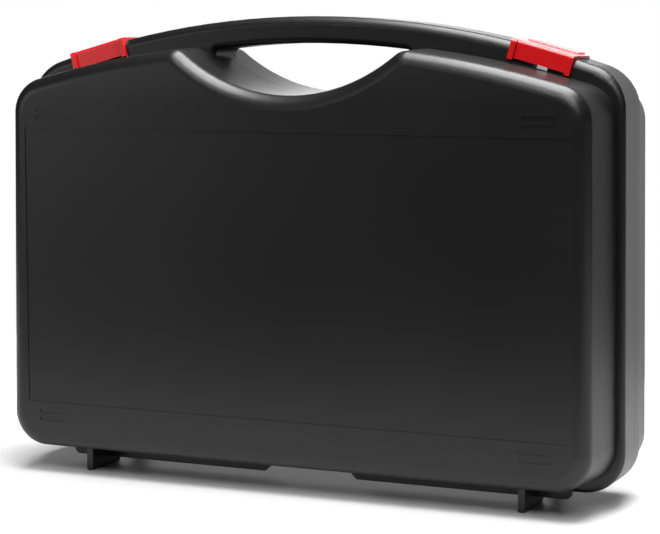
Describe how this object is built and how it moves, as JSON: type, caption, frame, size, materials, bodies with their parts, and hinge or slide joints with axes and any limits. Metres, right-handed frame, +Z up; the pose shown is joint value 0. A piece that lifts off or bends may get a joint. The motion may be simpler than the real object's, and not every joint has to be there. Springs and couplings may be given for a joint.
{
  "type": "hard tool case",
  "caption": "Slim moulded carrying case with an arched handle in its rim, hinged halves and lever latches, standing on its hinge edge.",
  "frame": {"origin": "on the floor under the middle of the closed case", "axes": "+X along the hinge, to the right as the base shell's big face is looked at; +Y from that face to the lid's big face; +Z up, from the feet to the handle"},
  "size_m": [0.4378, 0.1102, 0.315],
  "materials": {
    "shell": "fine satin grain, black",
    "latch": "smooth moulded, red",
    "pin": "drawn wire"
  },
  "bodies": {
    "base": {"base_shell": "shell", "hinge_pin_left": "pin", "hinge_pin_right": "pin"},
    "lid": {"lid_shell": "shell", "latch_bridge_left": "latch", "latch_bridge_right": "latch", "latch_pin_left": "pin", "latch_pin_right": "pin"},
    "latch_left": {"latch_lever_left": "latch"},
    "latch_right": {"latch_lever_right": "latch"}
  },
  "joints": [
    {"name": "lid_hinge", "type": "hinge", "parent": "base", "child": "lid", "pos_m": [0, 0.01325, 0.0105], "axis": [-1, 0, 0], "range_deg": [0, 120]},
    {"name": "latch_left_pivot", "type": "hinge", "parent": "lid", "child": "latch_left", "pos_m": [-0.16081, 0.0181, 0.28953], "axis": [-0.9656, 0, -0.26], "range_deg": [0, 110]},
    {"name": "latch_right_pivot", "type": "hinge", "parent": "lid", "child": "latch_right", "pos_m": [0.16081, 0.0181, 0.28953], "axis": [-0.9656, 0, 0.26], "range_deg": [0, 110]}
  ]
}
